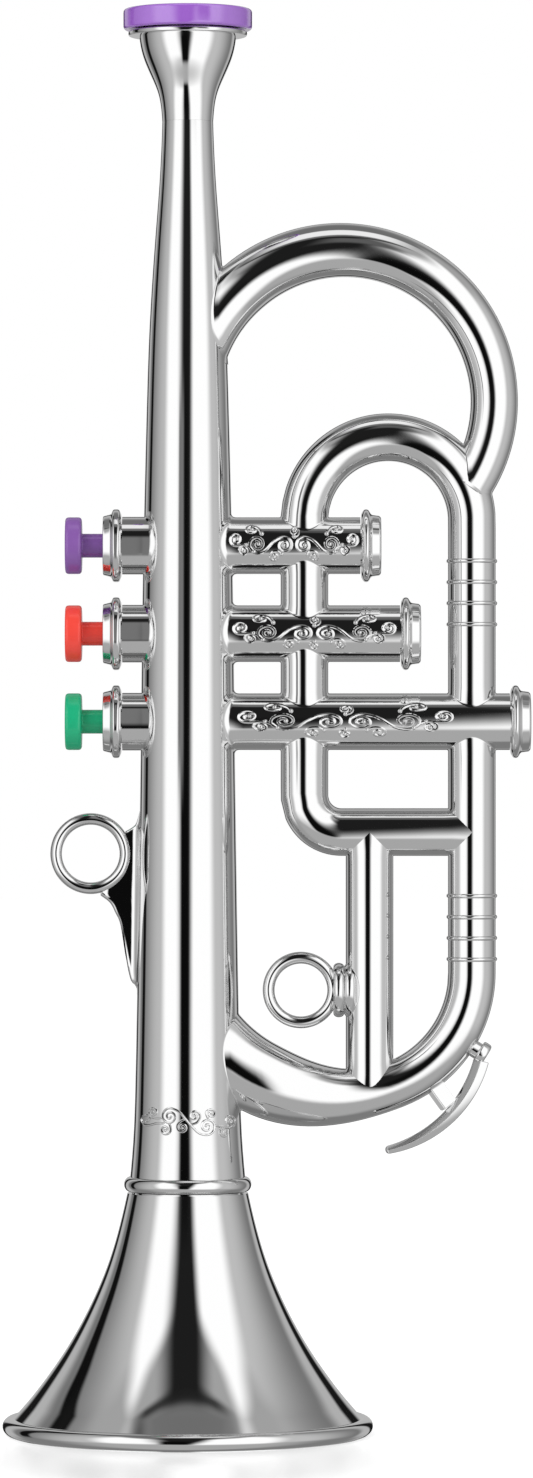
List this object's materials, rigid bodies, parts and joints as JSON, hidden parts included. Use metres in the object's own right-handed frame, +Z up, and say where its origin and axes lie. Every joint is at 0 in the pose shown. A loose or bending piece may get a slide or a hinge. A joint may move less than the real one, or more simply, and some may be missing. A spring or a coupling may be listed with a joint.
{
  "type": "toy trumpet",
  "caption": "Upright toy trumpet of hollow plated tubes with a flared bell, sprung push keys, looped side tubing, finger rings and a coloured mouthpiece rim.",
  "frame": {"origin": "on the floor, under the middle of the whole outline; the main tube's axis stands 20.45 mm towards -X from it", "axes": "+Z up along the main tube from bell to mouthpiece, +X from the keys towards the loops, the tubes lie in the XZ plane"},
  "size_m": [0.137, 0.0962, 0.37],
  "materials": {
    "chrome_plate": "bright chrome plate on moulded plastic",
    "purple_plastic": "glossy moulded plastic",
    "red_plastic": "glossy moulded plastic",
    "green_plastic": "glossy moulded plastic",
    "ivory_plastic": "plain moulded plastic, inside",
    "seal_rubber": "soft rubber",
    "reed_brass": "rolled brass strip",
    "spring_steel": "drawn wire"
  },
  "bodies": {
    "trumpet": {"main_tube_front": "chrome_plate", "main_tube_rear": "chrome_plate", "mouthpiece_cup": "chrome_plate", "mouthpiece_rim": "purple_plastic", "bell": "chrome_plate", "bell_ring": "chrome_plate", "upper_bow_front": "chrome_plate", "upper_bow_rear": "chrome_plate", "loop_top_front": "chrome_plate", "loop_top_rear": "chrome_plate", "loop_stub_1": "chrome_plate", "loop_stub_2": "chrome_plate", "loop_corner_front": "chrome_plate", "loop_corner_rear": "chrome_plate", "bottom_bow_front": "chrome_plate", "bottom_bow_rear": "chrome_plate", "drop_tube": "chrome_plate", "valve_casing_1": "chrome_plate", "valve_casing_2": "chrome_plate", "valve_casing_3": "chrome_plate", "casing_cap_1": "chrome_plate", "casing_cap_2": "chrome_plate", "casing_cap_3": "chrome_plate", "key_collar_1": "chrome_plate", "key_collar_2": "chrome_plate", "key_collar_3": "chrome_plate", "thumb_ring": "chrome_plate", "finger_ring": "chrome_plate", "water_key": "chrome_plate", "reed_block": "ivory_plastic", "block_gasket": "seal_rubber", "reed_plate": "ivory_plastic", "plate_screw_1": "spring_steel", "plate_screw_2": "spring_steel", "reed_1": "reed_brass", "reed_2": "reed_brass", "reed_3": "reed_brass", "key_spring_1": "spring_steel", "key_spring_2": "spring_steel", "key_spring_3": "spring_steel"},
    "push_key_1": {"key_1": "purple_plastic", "valve_pad_1": "seal_rubber"},
    "push_key_2": {"key_2": "red_plastic", "valve_pad_2": "seal_rubber"},
    "push_key_3": {"key_3": "green_plastic", "valve_pad_3": "seal_rubber"}
  },
  "joints": [
    {"name": "key_1_push", "type": "slide", "parent": "trumpet", "child": "push_key_1", "axis": [1, 0, 0], "range_m": [0, 0.004], "stiffness_N_per_m": 150, "springref_m": -0.006, "deforming": ["key_spring_1"]},
    {"name": "key_2_push", "type": "slide", "parent": "trumpet", "child": "push_key_2", "axis": [1, 0, 0], "range_m": [0, 0.004], "stiffness_N_per_m": 150, "springref_m": -0.006, "deforming": ["key_spring_2"]},
    {"name": "key_3_push", "type": "slide", "parent": "trumpet", "child": "push_key_3", "axis": [1, 0, 0], "range_m": [0, 0.004], "stiffness_N_per_m": 150, "springref_m": -0.006, "deforming": ["key_spring_3"]}
  ]
}
